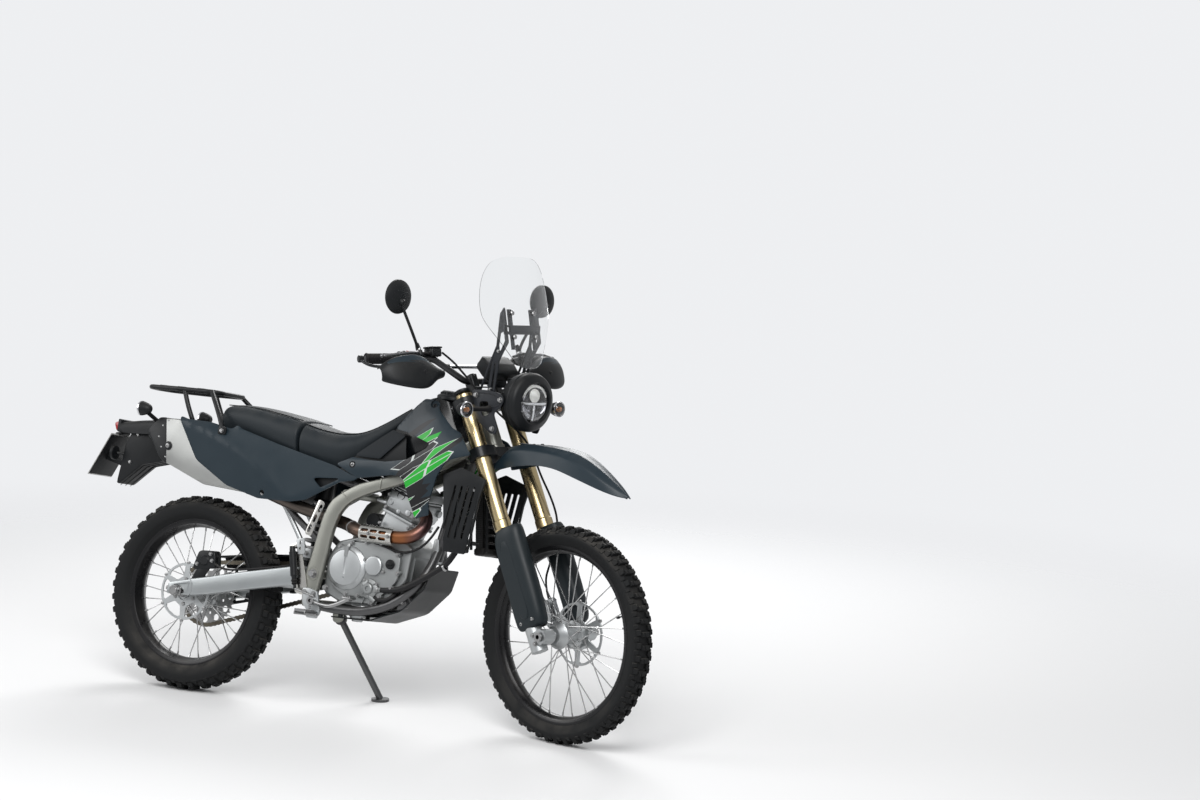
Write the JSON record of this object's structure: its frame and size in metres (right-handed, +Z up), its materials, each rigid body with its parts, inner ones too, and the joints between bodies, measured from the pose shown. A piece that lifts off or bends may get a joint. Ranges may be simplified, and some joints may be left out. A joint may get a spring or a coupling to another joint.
{
  "type": "dual sport motorcycle",
  "caption": "Single cylinder dual sport motorcycle with spoked wheels, long fork, high mudguard, clear screen and rear rack, leaning on its side stand.",
  "frame": {"origin": "on the ground, under the middle of the whole machine as it stands on its side stand", "axes": "+X forward, +Y to the rider's left, +Z up; the machine leans towards +Y"},
  "size_m": [2.2312, 0.8534, 1.524],
  "materials": {
    "tyre_rubber": "black knobby tyre rubber",
    "black_rim": "black anodised rims, bright spokes and hubs",
    "disc_steel": "ground brake disc steel",
    "bare_steel": "plain steel",
    "gold_tube": "gold anodised fork tubes",
    "chrome_leg": "hard chrome",
    "cast_alloy": "sand cast and machined alloy",
    "black_alloy": "satin black alloy",
    "grip_rubber": "black grip rubber",
    "black_plastic": "black moulded plastic",
    "slate_plastic": "dark slate satin plastic",
    "mirror_head": "black mirror heads with silvered glass",
    "lamp_glass": "clear lens",
    "screen_clear": "clear screen",
    "frame_champagne": "champagne silver painted steel",
    "frame_graphite": "graphite painted steel",
    "engine_alloy": "silver engine castings, solid block with the mass of the engine",
    "cover_alloy": "silver painted engine covers",
    "header_metal": "heat tinted header pipe",
    "shield_metal": "bright slotted shield",
    "muffler_metal": "satin silver silencer",
    "radiator_black": "black core and shroud ribs",
    "chain_steel": "oiled chain",
    "spring_paint": "painted spring and damper",
    "tank_black": "black tank",
    "seat_vinyl": "dark grey seat vinyl on foam",
    "textured_plastic": "textured dark plastic",
    "tail_mixed": "black bracket and blank plate, red lens and reflector",
    "lamp_smoked": "indicator lamps",
    "hose_black": "black hose"
  },
  "bodies": {
    "root": {"rear_axle": "bare_steel", "frame_spars": "frame_champagne", "frame_cradle": "frame_graphite", "subframe": "frame_graphite", "skid_plate": "cast_alloy", "engine_cases": "engine_alloy", "cylinder_and_head": "engine_alloy", "engine_covers": "cover_alloy", "exhaust_header": "header_metal", "heat_shield": "shield_metal", "muffler": "muffler_metal", "radiators": "radiator_black", "coolant_elbows": "hose_black", "chain": "chain_steel", "swingarm": "cast_alloy", "shock_absorber": "spring_paint", "chain_guard": "black_plastic", "rear_caliper": "cast_alloy", "footpegs": "cast_alloy", "pedals": "cast_alloy", "fuel_tank": "tank_black", "seat": "seat_vinyl", "side_covers": "slate_plastic", "tank_sides": "textured_plastic", "shrouds": "slate_plastic", "rear_fender": "black_plastic", "tail_pieces": "tail_mixed", "rear_indicators": "lamp_smoked", "rear_rack": "black_alloy", "airbox": "black_plastic"},
    "steering": {"front_axle": "bare_steel", "fork_tubes": "gold_tube", "fork_stanchions": "chrome_leg", "axle_clamps": "cast_alloy", "triple_clamps": "black_alloy", "handlebar": "black_alloy", "grips": "grip_rubber", "hand_controls": "black_alloy", "handguards": "black_plastic", "mirrors": "mirror_head", "front_mudguard": "slate_plastic", "fork_guards": "black_plastic", "headlight_shell": "black_plastic", "headlight_lens": "lamp_glass", "windscreen": "screen_clear", "front_bracket": "black_plastic", "instrument_panel": "black_plastic", "front_indicators": "lamp_smoked", "front_caliper": "cast_alloy", "front_brake_hose": "hose_black"},
    "front_wheel": {"front_tyre": "tyre_rubber", "front_wheel_spoked": "black_rim", "front_disc": "disc_steel"},
    "rear_wheel": {"rear_tyre": "tyre_rubber", "rear_wheel_spoked": "black_rim", "rear_disc": "disc_steel", "rear_sprocket": "bare_steel"},
    "side_stand": {"side_stand": "bare_steel"}
  },
  "joints": [
    {"name": "steering_turn", "type": "hinge", "parent": "root", "child": "steering", "pos_m": [0.72002, -0.16797, 0.31752], "axis": [-0.4478, 0.1708, 0.8777], "range_deg": [-29, 61]},
    {"name": "front_wheel_spin", "type": "hinge", "parent": "steering", "child": "front_wheel", "pos_m": [0.77228, -0.17944, 0.34641], "axis": [0.2468, 0.9671, -0.0622], "continuous": true},
    {"name": "rear_wheel_spin", "type": "hinge", "parent": "root", "child": "rear_wheel", "pos_m": [-0.65557, -0.16661, 0.32206], "axis": [0.0003, 0.9816, -0.1908], "continuous": true},
    {"name": "side_stand_fold", "type": "hinge", "parent": "root", "child": "side_stand", "pos_m": [-0.14749, -0.05789, 0.27433], "axis": [-0.1917, 0.9633, -0.1876], "range_deg": [0, 112]}
  ]
}
